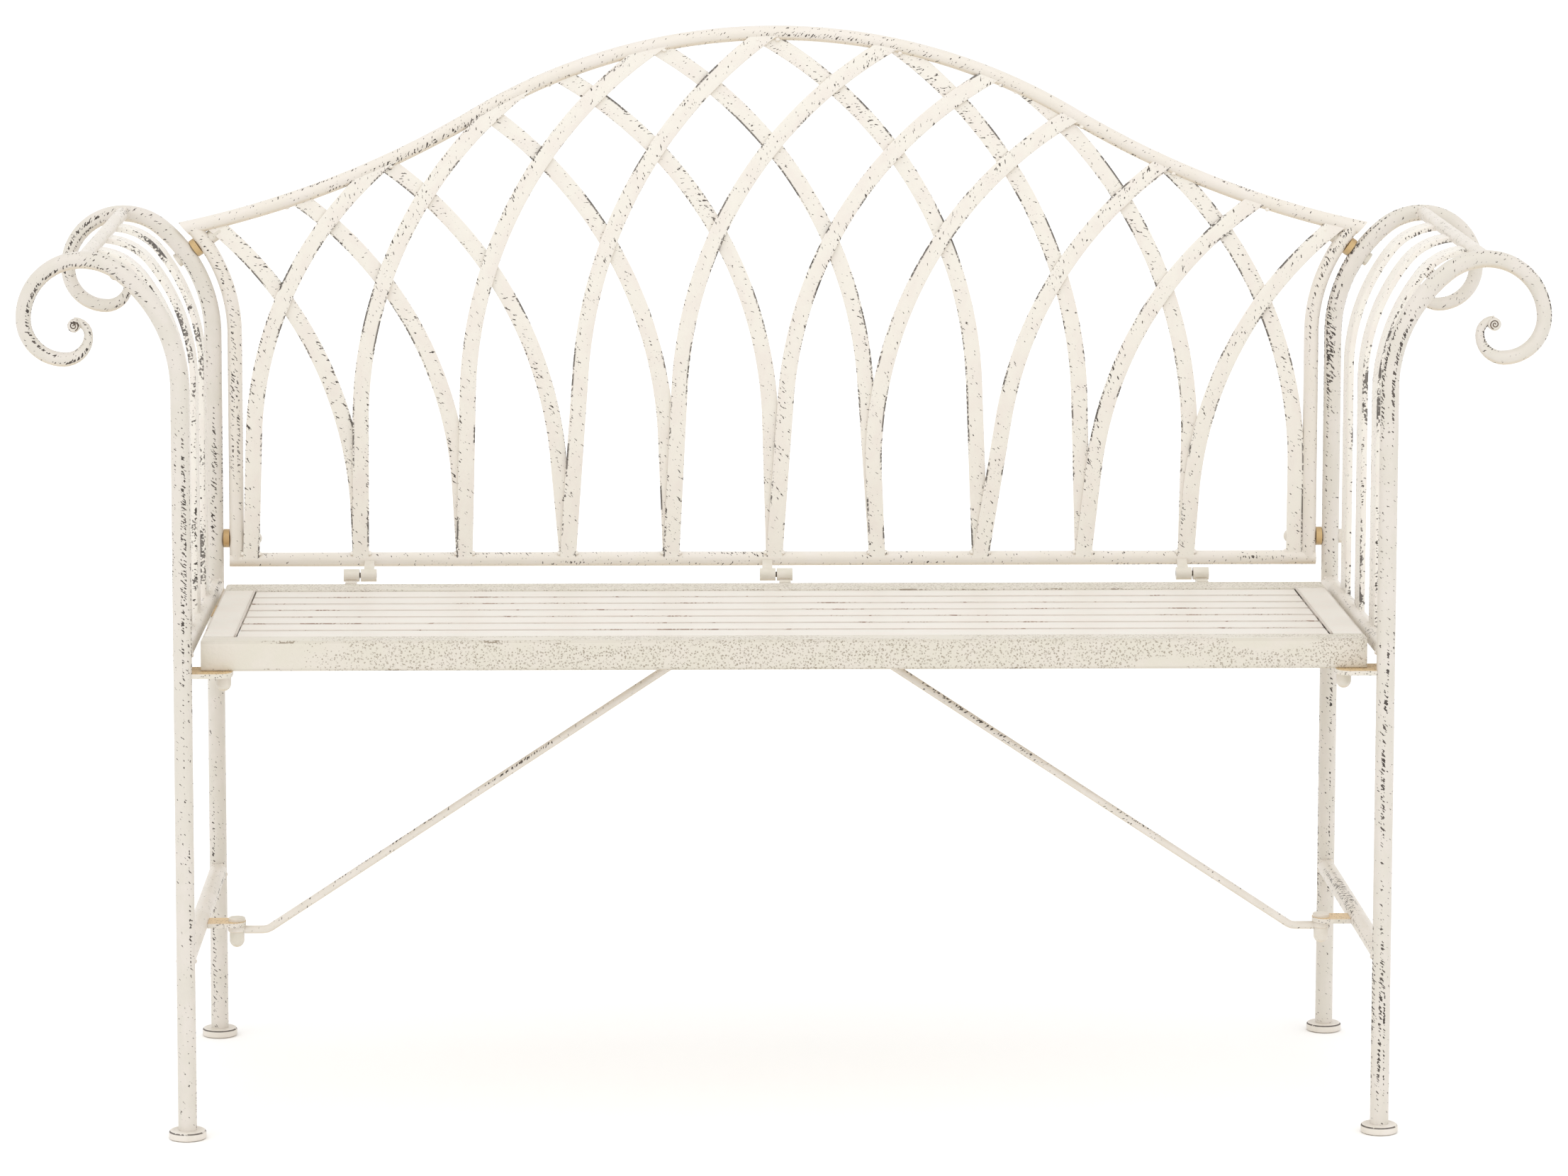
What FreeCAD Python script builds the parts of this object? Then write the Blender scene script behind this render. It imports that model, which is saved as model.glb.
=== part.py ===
import FreeCAD, Part
import math
import os

# Garden bench in painted steel: two scrolled arm frames, a slatted seat and an arched lattice back.
# Millimetres. +X is the viewer's right, the front faces -Y and +Z is up.
# The origin is on the floor under the middle of the bench. Left parts lie at -X.

# Arm frames: bends as (radius of the centre line, degrees), and the tube's radius at each joint
LEG_X = 514.0
LEG_Y = 192.0
TUBE_R = 8.0
SPRING_Z = 647.0
REAR_LIFT = 7.0
ARM_BEND_R = 128.0
ARM_BENDS = ((ARM_BEND_R, 50.0), (55.0, 40.0))
SCROLL_BENDS = ((50.0, 90.0), (34.5, 90.0), (20.5, 90.0), (12.0, 90.0))
LEG_RADII = (TUBE_R, TUBE_R, 8.0, 7.5, 6.5, 6.2, 3.8, 3.5)
SNUB_R = 5.5
SNUB_LENGTH = 11.5
SNUB_DROP = 3.5
TOP_BAR_R = 6.0
SIDE_RAIL_Z = 421.0
STRETCHER_Z = 155.0
ARM_SLAT_YS = (-96.0, 0.0, 96.0)
ARM_SLAT_WIDTH = 35.0
ARM_SLAT_THICKNESS = 5.0
ARM_SLAT_X = 516.5
ARM_SLAT_SPRING_Z = 628.5
ARM_SLAT_BENDS = ((172.5, 38.0), (53.5, 52.0))
FOOT_R = 16.0
FOOT_HEIGHT = 7.3
FOOT_TOP_ROUND = 2.6
FOOT_BASE_ROUND = 1.0

# Seat
SEAT_HALF = 499.5
SEAT_FRONT = -180.0
SEAT_REAR = 144.0
SEAT_TOP = 430.0
SEAT_BASE = 404.0
FRONT_RAIL_BACK = -155.0
REAR_RAIL_FRONT = 105.0
RAIL_ROUND = 1.5
END_PLATE_WIDTH = 28.5
PLATE_THICKNESS = 3.0
LIP_WIDTH = 2.0
LIP_HEIGHT = 1.0
SIDE_BAR_THICKNESS = 4.0
SLAT_COUNT = 7
SLAT_GAP = 4.0
SLAT_DROP = 0.8
SLAT_END_GAP = 1.0
END_BAR_X = 462.0
BRACE_BAR_X = 60.0
CROSS_BAR_THICKNESS = 6.0

# Seat tabs on the legs
TAB_THICKNESS = 4.0
TAB_INNER_X = 472.5
TAB_ROUND = 12.0
FRONT_TAB = (-195.0, -156.0)
REAR_TAB = (120.0, 195.0)
SEAT_BOLT_X = 481.0
SEAT_BOLT_YS = (-168.0, 132.0)
SEAT_BOLT_DEPTH = 14.0
BOLT_R = 3.0
DOME_R = 6.5
SEAT_DOME_LENGTH = 15.0

# Braces
BRACE_Y = -37.0
BRACE_TAB_INNER_X = 473.0
BRACE_TAB_WIDTH = 26.0
BRACE_TAB_TOP = 156.5
BRACE_BOLT_X = 481.0
BRACE_HEAD_R = 7.5
BRACE_HEAD_HEIGHT = 3.5
BRACE_EYE_R = 8.0
BRACE_EYE_THICKNESS = 5.5
BRACE_ROD_R = 3.5
BRACE_ROD_DROP = 0.3
BRACE_KNEE_X = 454.0
BRACE_KNEE_R = 12.0
BRACE_SLOPE = 33.4
BRACE_DOME_LENGTH = 14.0
BRACE_EYE_TOP = BRACE_TAB_TOP - TAB_THICKNESS
BRACE_EYE_BASE = BRACE_EYE_TOP - BRACE_EYE_THICKNESS
BRACE_ROD_START_X = BRACE_BOLT_X - BRACE_EYE_R + 1.0

# Back frame
BACK_Y = 192.0
POST_X = 494.0
POST_R = 6.75
POST_BEND_R = LEG_X + ARM_BEND_R - POST_X
POST_SWEEP = 42.0
BOTTOM_RAIL_Z = 445.5
BOTTOM_RAIL_R = 6.5
BOTTOM_RAIL_HALF = 500.5
TOP_RAIL_R = 6.8
CROWN_Z = 929.6
CROWN_R = 533.0
CROWN_HALF_ANGLE = 30.6
SHOULDER_R = 891.0
SHOULDER_ANGLE = 19.6
HALF_RAIL = ((CROWN_R, CROWN_HALF_ANGLE), (SHOULDER_R, -SHOULDER_ANGLE))

# Lattice: the front layer curves right; the rear layer curves left and is given by its mirror images.
# Each strip is (foot x, height where the bend starts, bend radius, lean in mm per 100 mm of height).
FRONT_STRIPS = (
    (-480.5, 560.0, 345.0, 3.0),
    (-380.0, 575.0, 390.0, 0.5),
    (-285.0, 600.0, 400.0, 2.5),
    (-190.0, 620.0, 420.0, 7.0),
    (-95.0, 605.0, 385.0, 5.0),
    (0.0, 595.0, 370.0, 7.0),
    (95.0, 520.0, 370.0, -4.5),
    (190.0, 575.0, 360.0, 16.0),
    (285.0, 530.0, 345.0, 11.0),
    (380.0, 505.0, 350.0, 7.0),
)
REAR_STRIPS = (
    (-480.5, 530.0, 375.0, -0.5),
    (-380.0, 550.0, 410.0, -2.0),
    (-285.0, 595.0, 415.0, 3.0),
    (-190.0, 610.0, 380.0, 4.0),
    (-95.0, 610.0, 385.0, 7.0),
    (0.0, 575.0, 375.0, 3.0),
    (95.0, 560.0, 380.0, 4.0),
    (190.0, 540.0, 370.0, 9.0),
    (285.0, 515.0, 345.0, 5.5),
    (380.0, 490.0, 365.0, 4.0),
)
STRIP_WIDTH = 15.0
STRIP_THICKNESS = 3.0
LATTICE_FRONT = BACK_Y - 2 * STRIP_THICKNESS
STRIP_OVERRUN = 12.0
HALVINGS = 40

# Hinges between seat and back
HINGE_Y = 166.0
HINGE_Z = 434.5
KNUCKLE_R = 5.75
KNUCKLE_LENGTH = 14.3
KNUCKLE_GAP = 1.3
HINGE_PIN_R = 2.5
SEAT_LUG_WIDTH = 10.0
SEAT_LUG_BASE = 424.0
SEAT_LUG_TOP = 430.5
BACK_LUG_WIDTH = 9.0
BACK_LUG_HALF = 2.5
# (x of the gap between the two knuckles, +1 where the seat knuckle is to the left of it)
HINGES = ((-379.7, 1), (1.2, -1), (383.8, -1))

# Bolts and spacers between the back and the rear legs
BACK_BOLT_SHIFT = 3.0
BACK_BOLT_Z = 465.0
BACK_BOLT_ANGLE = 35.0
SPACER_R = 8.5
BACK_HEAD_R = 6.5
BACK_HEAD_HEIGHT = 3.0
BACK_DOME_R = 6.2
BACK_DOME_END = 43.0
BACK_SHANK_END = 36.0


def at(x, y, z):
    return FreeCAD.Vector(x, y, z)


def box(x0, x1, y0, y1, z0, z1):
    return Part.makeBox(x1 - x0, y1 - y0, z1 - z0, at(x0, y0, z0))


def is_level(e):
    return e.BoundBox.ZLength < 0.1


def round_bar(start, end, radius):
    axis = end - start
    return Part.makeCylinder(radius, axis.Length, start, axis)


def union(shapes):
    return shapes[0].multiFuse(shapes[1:]).removeSplitter()


def mirrored(shape):
    return shape.mirror(at(0, 0, 0), at(1, 0, 0))


def run(start, length):
    """A straight step in the XZ plane from start, which is x, z and the heading from +Z towards +X."""
    x, z, heading = start

    def place(t):
        return x + t * length * math.sin(heading), z + t * length * math.cos(heading), heading

    return place


def bend(start, radius, sweep):
    """An arc step. A positive sweep turns towards +X from upright, a negative one the other way."""
    x, z, heading = start
    side = math.copysign(radius, sweep)
    centre_x = x + side * math.cos(heading)
    centre_z = z - side * math.sin(heading)

    def place(t):
        now = heading + t * sweep
        return centre_x - side * math.cos(now), centre_z + side * math.sin(now), now

    return place


def chain(x, z, heading, steps):
    """A path of steps end to end. A step is (length,) or (radius, sweep in degrees)."""
    start = (x, z, math.radians(heading))
    path = []
    for step in steps:
        if len(step) == 1:
            path.append(run(start, step[0]))
        else:
            path.append(bend(start, step[0], math.radians(step[1])))
        start = path[-1](1.0)
    return path


def beside(place, t, y, offset):
    """The point at t along a step, moved by offset to the right of its heading."""
    x, z, heading = place(t)
    return at(x + offset * math.cos(heading), y, z - offset * math.sin(heading))


def edge(place, y, offset=0.0):
    first, middle, last = [beside(place, t, y, offset) for t in (0.0, 0.5, 1.0)]
    if place(0.0)[2] == place(1.0)[2]:
        return Part.LineSegment(first, last).toShape()
    return Part.Arc(first, middle, last).toShape()


def flat_bar(path, width, y0, y1):
    """A bar with a flat section: the path widened in its own plane and extruded from y0 to y1."""
    half = width / 2
    sides = [edge(place, y0, offset) for offset in (-half, half) for place in path]
    foot = Part.LineSegment(beside(path[0], 0.0, y0, -half), beside(path[0], 0.0, y0, half))
    head = Part.LineSegment(beside(path[-1], 1.0, y0, -half), beside(path[-1], 1.0, y0, half))
    outline = Part.Wire(Part.__sortEdges__(sides + [foot.toShape(), head.toShape()]))
    return Part.Face(outline).extrude(at(0, y1 - y0, 0))


def ring(place, t, y, radius):
    """A circle square to the path, its seam always on the +Y side so that tubes don't twist."""
    x, z, heading = place(t)
    along = at(math.sin(heading), 0, math.cos(heading))
    across = at(0, 1, 0)
    circle = Part.Wire(Part.makeCircle(radius))
    spin = FreeCAD.Rotation(across, along.cross(across), along, "ZXY")
    circle.Placement = FreeCAD.Placement(at(x, y, z), spin)
    return circle


def bent_tube(path, radius, y):
    """A tube of one radius along a path."""
    spine = Part.Wire([edge(place, y) for place in path])
    return spine.makePipeShell([ring(path[0], 0.0, y, radius)], True, False)


def tapered_tube(path, radii, y):
    """A tube whose radius changes evenly along each step, from one of the radii to the next."""
    pieces = []
    for place, first, last in zip(path, radii, radii[1:]):
        rings = [ring(place, 0.0, y, first)]
        if last != first:
            rings.append(ring(place, 1.0, y, last))
        pieces.append(Part.Wire([edge(place, y)]).makePipeShell(rings, True, False))
    return union(pieces)


def domed(start, direction, radius, length):
    """A cap-nut shape: a cylinder from start with a round end, of that length over all."""
    straight = length - radius
    centre = start + direction * straight
    body = Part.makeCylinder(radius, straight, start, direction)
    return union([body, Part.makeSphere(radius, centre)])


# Arm frames

def arm_path(lift):
    return chain(LEG_X, SPRING_Z + lift, 0.0, ARM_BENDS + SCROLL_BENDS)


def leg(y, lift):
    """A leg tube that rises, bends over the arm and ends in a tapering scroll with a rolled snub."""
    upright = run((LEG_X, FOOT_HEIGHT, 0.0), SPRING_Z + lift - FOOT_HEIGHT)
    path = [upright] + arm_path(lift)
    tip_x, tip_z, _ = path[-1](1.0)
    snub_end = at(tip_x, y - SNUB_LENGTH / 2, tip_z - SNUB_DROP)
    snub = Part.makeCylinder(SNUB_R, SNUB_LENGTH, snub_end, at(0, 1, 0))
    return union([tapered_tube(path, LEG_RADII, y), snub])


def foot(y):
    disc = Part.makeCylinder(FOOT_R, FOOT_HEIGHT, at(LEG_X, y, 0))
    rims = [e for e in disc.Edges if is_level(e)]
    top = [e for e in rims if e.BoundBox.ZMax > FOOT_HEIGHT / 2]
    base = [e for e in rims if e.BoundBox.ZMax < FOOT_HEIGHT / 2]
    return disc.makeFillet(FOOT_TOP_ROUND, top).makeFillet(FOOT_BASE_ROUND, base)


def crest(y):
    """The crest of the arm at a depth between the front scroll and the higher rear one."""
    lift = REAR_LIFT * (y + LEG_Y) / (2 * LEG_Y)
    x, z, _ = arm_path(lift)[len(ARM_BENDS) - 1](1.0)
    return at(x, y, z), lift


def arm_slat(y):
    """A flat bar that hangs from the top bar and follows the arm down to the side rail."""
    straight = ARM_SLAT_SPRING_Z + crest(y)[1] - SIDE_RAIL_Z
    path = chain(ARM_SLAT_X, SIDE_RAIL_Z, 0.0, ((straight,),) + ARM_SLAT_BENDS)
    half = ARM_SLAT_WIDTH / 2
    return flat_bar(path, ARM_SLAT_THICKNESS, y - half, y + half)


def build_arm_frame():
    """One side's arm frame, at +X, as a dict of named shapes."""
    front_leg = leg(-LEG_Y, 0.0)
    rear_leg = leg(LEG_Y, REAR_LIFT)
    legs = [front_leg, rear_leg]
    top_bar = round_bar(crest(-LEG_Y)[0], crest(LEG_Y)[0], TOP_BAR_R).cut(legs)
    side_rail = round_bar(at(LEG_X, -LEG_Y, SIDE_RAIL_Z), at(LEG_X, LEG_Y, SIDE_RAIL_Z), TUBE_R).cut(legs)
    stretcher = round_bar(at(LEG_X, -LEG_Y, STRETCHER_Z), at(LEG_X, LEG_Y, STRETCHER_Z), TUBE_R).cut(legs)
    slats = [arm_slat(y).cut([top_bar, side_rail]) for y in ARM_SLAT_YS]
    return {
        "front_leg": front_leg,
        "rear_leg": rear_leg,
        "arm_top_bar": top_bar,
        "arm_slats": Part.makeCompound(slats),
        "side_rail": side_rail,
        "leg_stretcher": stretcher,
        "feet": Part.makeCompound([foot(-LEG_Y), foot(LEG_Y)]),
    }


# Seat

def rounded_rail(y0, y1):
    rail = box(-SEAT_HALF, SEAT_HALF, y0, y1, SEAT_BASE, SEAT_TOP)
    return rail.makeFillet(RAIL_ROUND, rail.Edges)


def end_plate():
    """The flat plate over the end of the seat, with a raised lip along the slat ends."""
    inner = SEAT_HALF - END_PLATE_WIDTH
    plate = box(inner, SEAT_HALF, FRONT_RAIL_BACK, REAR_RAIL_FRONT, SEAT_TOP - PLATE_THICKNESS, SEAT_TOP)
    lip = box(inner, inner + LIP_WIDTH, FRONT_RAIL_BACK, REAR_RAIL_FRONT, SEAT_TOP, SEAT_TOP + LIP_HEIGHT)
    return union([plate, lip])


def seat_slats():
    pitch = (REAR_RAIL_FRONT - FRONT_RAIL_BACK) / SLAT_COUNT
    half = SEAT_HALF - END_PLATE_WIDTH - SLAT_END_GAP
    top = SEAT_TOP - SLAT_DROP
    slats = []
    for k in range(SLAT_COUNT):
        y = FRONT_RAIL_BACK + k * pitch + SLAT_GAP / 2
        slats.append(box(-half, half, y, y + pitch - SLAT_GAP, top - PLATE_THICKNESS, top))
    return Part.makeCompound(slats)


def cross_bars():
    """Upright bars under the slats: one near each end and two that the braces are welded to."""
    half = CROSS_BAR_THICKNESS / 2
    top = SEAT_TOP - SLAT_DROP - PLATE_THICKNESS
    bars = []
    for x in (-END_BAR_X, -BRACE_BAR_X, BRACE_BAR_X, END_BAR_X):
        bars.append(box(x - half, x + half, FRONT_RAIL_BACK, REAR_RAIL_FRONT, SEAT_BASE, top))
    return Part.makeCompound(bars)


def build_seat():
    side_bar = box(
        SEAT_HALF - SIDE_BAR_THICKNESS, SEAT_HALF,
        FRONT_RAIL_BACK, REAR_RAIL_FRONT,
        SEAT_BASE, SEAT_TOP - PLATE_THICKNESS,
    )
    return {
        "seat_front_rail": rounded_rail(SEAT_FRONT, FRONT_RAIL_BACK),
        "seat_rear_rail": rounded_rail(REAR_RAIL_FRONT, SEAT_REAR),
        "left_seat_side_bar": mirrored(side_bar),
        "right_seat_side_bar": side_bar,
        "left_seat_end_plate": mirrored(end_plate()),
        "right_seat_end_plate": end_plate(),
        "seat_slats": seat_slats(),
        "seat_cross_bars": cross_bars(),
    }


def tab(inner_x, y0, y1, top):
    """A flat plate that reaches in from the arm frame, its two inner corners rounded."""
    plate = box(inner_x, LEG_X, y0, y1, top - TAB_THICKNESS, top)
    middle = (inner_x + LEG_X) / 2
    corners = [e for e in plate.Edges if e.BoundBox.XMax < middle and not is_level(e)]
    return plate.makeFillet(TAB_ROUND, corners)


def seat_bolt(y):
    head = at(SEAT_BOLT_X, y, SEAT_BASE - TAB_THICKNESS)
    return Part.makeCylinder(BOLT_R, TAB_THICKNESS + SEAT_BOLT_DEPTH, head)


def seat_dome(y):
    return domed(at(SEAT_BOLT_X, y, SEAT_BASE - TAB_THICKNESS), at(0, 0, -1), DOME_R, SEAT_DOME_LENGTH)


# Braces

def brace():
    """A rod with a flat eye that lies under its tab, runs level to a knee and rises to the seat."""
    rod_z = BRACE_EYE_TOP - BRACE_ROD_R - BRACE_ROD_DROP
    knee = BRACE_KNEE_R * math.tan(math.radians(BRACE_SLOPE / 2))
    rise = (BRACE_KNEE_X - BRACE_BAR_X) / math.cos(math.radians(BRACE_SLOPE)) - knee
    level = BRACE_ROD_START_X - BRACE_KNEE_X - knee
    path = chain(BRACE_ROD_START_X, rod_z, -90.0, ((level,), (BRACE_KNEE_R, BRACE_SLOPE), (rise,)))
    rod = bent_tube(path, BRACE_ROD_R, BRACE_Y)
    eye = Part.makeCylinder(BRACE_EYE_R, BRACE_EYE_THICKNESS, at(BRACE_BOLT_X, BRACE_Y, BRACE_EYE_BASE))
    return union([rod, eye])


def brace_bolt():
    shank_length = BRACE_TAB_TOP - BRACE_EYE_BASE
    shank = Part.makeCylinder(BOLT_R, shank_length, at(BRACE_BOLT_X, BRACE_Y, BRACE_EYE_BASE))
    head = Part.makeCylinder(BRACE_HEAD_R, BRACE_HEAD_HEIGHT, at(BRACE_BOLT_X, BRACE_Y, BRACE_TAB_TOP))
    rim = [e for e in head.Edges if e.BoundBox.ZMin > BRACE_TAB_TOP + BRACE_HEAD_HEIGHT / 2]
    return union([shank, head.makeFillet(BRACE_HEAD_HEIGHT / 2, rim)])


def brace_dome():
    return domed(at(BRACE_BOLT_X, BRACE_Y, BRACE_EYE_BASE), at(0, 0, -1), DOME_R, BRACE_DOME_LENGTH)


# Back

def arm_centre():
    """Centre of the rear arm's first bend; the post, the spacer and the rail's end follow it."""
    return at(LEG_X + ARM_BEND_R, 0, SPRING_Z + REAR_LIFT)


def top_rail():
    """The bell-shaped rail: a crown arc and two hollow shoulders, cut off along the rear arms."""
    end_x, end_z, end_heading = chain(0.0, CROWN_Z, 90.0, HALF_RAIL)[-1](1.0)
    shoulder = (SHOULDER_R, -SHOULDER_ANGLE)
    steps = (shoulder, (CROWN_R, 2 * CROWN_HALF_ANGLE), shoulder)
    rail = bent_tube(chain(-end_x, end_z, 180.0 - math.degrees(end_heading), steps), TOP_RAIL_R, BACK_Y)
    trim_start = arm_centre() + at(0, BACK_Y - 2 * TOP_RAIL_R, 0)
    trim = Part.makeCylinder(POST_BEND_R - POST_R, 4 * TOP_RAIL_R, trim_start, at(0, 1, 0))
    return rail.cut([trim, mirrored(trim)])


def rail_height(x):
    """Height of the top rail's centre line."""
    crown_centre = CROWN_Z - CROWN_R
    joint = math.radians(CROWN_HALF_ANGLE)
    if abs(x) <= CROWN_R * math.sin(joint):
        return crown_centre + math.sqrt(CROWN_R ** 2 - x ** 2)
    hollow_x = (CROWN_R + SHOULDER_R) * math.sin(joint)
    hollow_z = crown_centre + (CROWN_R + SHOULDER_R) * math.cos(joint)
    return hollow_z - math.sqrt(SHOULDER_R ** 2 - (hollow_x - abs(x)) ** 2)


def post(rails):
    """A post that rises from the bottom rail and bends outwards beside the rear arm."""
    straight = SPRING_Z + REAR_LIFT - BOTTOM_RAIL_Z
    path = chain(POST_X, BOTTOM_RAIL_Z, 0.0, ((straight,), (POST_BEND_R, POST_SWEEP)))
    return bent_tube(path, POST_R, BACK_Y).cut(rails)


def strip_path(foot_x, bend_z, radius, lean):
    """A strip's path from the bottom rail's centre line to a little past the top rail's.

    The sweep of the bend that reaches the top rail is found by halving the range it lies in.
    """
    heading = math.atan(lean / 100)
    straight = (bend_z - BOTTOM_RAIL_Z) / math.cos(heading)
    low, high = 0.0, math.pi / 2 - heading
    start = run((foot_x, BOTTOM_RAIL_Z, heading), straight)(1.0)
    for _ in range(HALVINGS):
        sweep = (low + high) / 2
        x, z, _ = bend(start, radius, sweep)(1.0)
        if abs(x) < LEG_X and z < rail_height(x):
            low = sweep
        else:
            high = sweep
    sweep = low + STRIP_OVERRUN / radius
    return chain(foot_x, BOTTOM_RAIL_Z, math.degrees(heading), ((straight,), (radius, math.degrees(sweep))))


def under_rail(y0, y1):
    """The space below the top rail's centre line, which the strips are kept to."""
    half = chain(0.0, CROWN_Z, 90.0, HALF_RAIL)
    arcs = [edge(place, y0) for place in half]
    x, z, heading = half[-1](1.0)
    corners = [at(x, y0, z), at(x, y0, BOTTOM_RAIL_Z), at(0, y0, BOTTOM_RAIL_Z), at(0, y0, CROWN_Z)]
    lines = [Part.LineSegment(a, b).toShape() for a, b in zip(corners, corners[1:])]
    right = Part.Face(Part.Wire(arcs + lines)).extrude(at(0, y1 - y0, 0))
    return union([right, mirrored(right)])


def build_back():
    """The back frame and its two layers of strips."""
    rail = top_rail()
    base = round_bar(
        at(-BOTTOM_RAIL_HALF, BACK_Y, BOTTOM_RAIL_Z),
        at(BOTTOM_RAIL_HALF, BACK_Y, BOTTOM_RAIL_Z),
        BOTTOM_RAIL_R,
    )
    right_post = post([rail, base])
    left_post = mirrored(right_post)
    nodes = {
        "back_top_rail": rail,
        "back_bottom_rail": base,
        "left_post": left_post,
        "right_post": right_post,
    }
    middle = LATTICE_FRONT + STRIP_THICKNESS
    rear = middle + STRIP_THICKNESS
    room = under_rail(LATTICE_FRONT, rear)
    frame = [rail, base, left_post, right_post]
    for number, (front, behind) in enumerate(zip(FRONT_STRIPS, REAR_STRIPS), 1):
        front_strip = flat_bar(strip_path(*front), STRIP_WIDTH, LATTICE_FRONT, middle)
        rear_strip = mirrored(flat_bar(strip_path(*behind), STRIP_WIDTH, middle, rear))
        nodes[f"lattice_front_{number:02d}"] = front_strip.common(room).cut(frame)
        nodes[f"lattice_rear_{number:02d}"] = rear_strip.common(room).cut(frame)
    return nodes


# Hinges

def hinge(gap_x, seat_side):
    """Seat knuckle, back knuckle and pin of one barrel hinge, the knuckles apart by a small gap."""
    axis = at(1, 0, 0)
    left_x = gap_x - KNUCKLE_GAP / 2 - KNUCKLE_LENGTH
    right_x = gap_x + KNUCKLE_GAP / 2
    seat_x, back_x = (left_x, right_x) if seat_side > 0 else (right_x, left_x)
    pin_length = 2 * KNUCKLE_LENGTH + KNUCKLE_GAP
    pin = Part.makeCylinder(HINGE_PIN_R, pin_length, at(left_x, HINGE_Y, HINGE_Z), axis)
    seat_knuckle = Part.makeCylinder(KNUCKLE_R, KNUCKLE_LENGTH, at(seat_x, HINGE_Y, HINGE_Z), axis)
    back_knuckle = Part.makeCylinder(KNUCKLE_R, KNUCKLE_LENGTH, at(back_x, HINGE_Y, HINGE_Z), axis)
    seat_mid = seat_x + KNUCKLE_LENGTH / 2
    back_mid = back_x + KNUCKLE_LENGTH / 2
    seat_lug = box(
        seat_mid - SEAT_LUG_WIDTH / 2, seat_mid + SEAT_LUG_WIDTH / 2,
        SEAT_REAR, HINGE_Y, SEAT_LUG_BASE, SEAT_LUG_TOP,
    )
    slope = at(0, BACK_Y - HINGE_Y, BOTTOM_RAIL_Z - HINGE_Z)
    lift = at(0, -slope.z, slope.y).normalize() * BACK_LUG_HALF
    corner = at(back_mid - BACK_LUG_WIDTH / 2, HINGE_Y, HINGE_Z)
    outline = [corner + lift, corner + slope + lift, corner + slope - lift, corner - lift, corner + lift]
    back_lug = Part.Face(Part.makePolygon(outline)).extrude(at(BACK_LUG_WIDTH, 0, 0))
    return union([seat_knuckle, seat_lug]).cut(pin), union([back_knuckle, back_lug]).cut(pin), pin


# Bolted joints between the back and the rear legs

def back_joint(centre, inward, rear_leg, post_shape):
    """Bolt, spacer and dome nut that go inwards from the middle of the rear leg tube."""
    post_near = LEG_X - POST_X - POST_R
    post_far = LEG_X - POST_X + POST_R
    spacer = Part.makeCylinder(SPACER_R, post_near - TUBE_R, centre + inward * TUBE_R, inward)
    shank = Part.makeCylinder(BOLT_R, TUBE_R + BACK_SHANK_END, centre - inward * TUBE_R, inward)
    head_start = centre - inward * (TUBE_R + BACK_HEAD_HEIGHT)
    head = Part.makeCylinder(BACK_HEAD_R, TUBE_R, head_start, inward).cut(rear_leg)
    dome_start = centre + inward * (post_far - POST_R / 2)
    dome = domed(dome_start, inward, BACK_DOME_R, BACK_DOME_END - post_far + POST_R / 2).cut(post_shape)
    return union([head, shank]), spacer.cut(shank), dome.cut(shank), shank


def both_sides(shapes):
    return Part.makeCompound(list(shapes) + [mirrored(shape) for shape in shapes])


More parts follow.
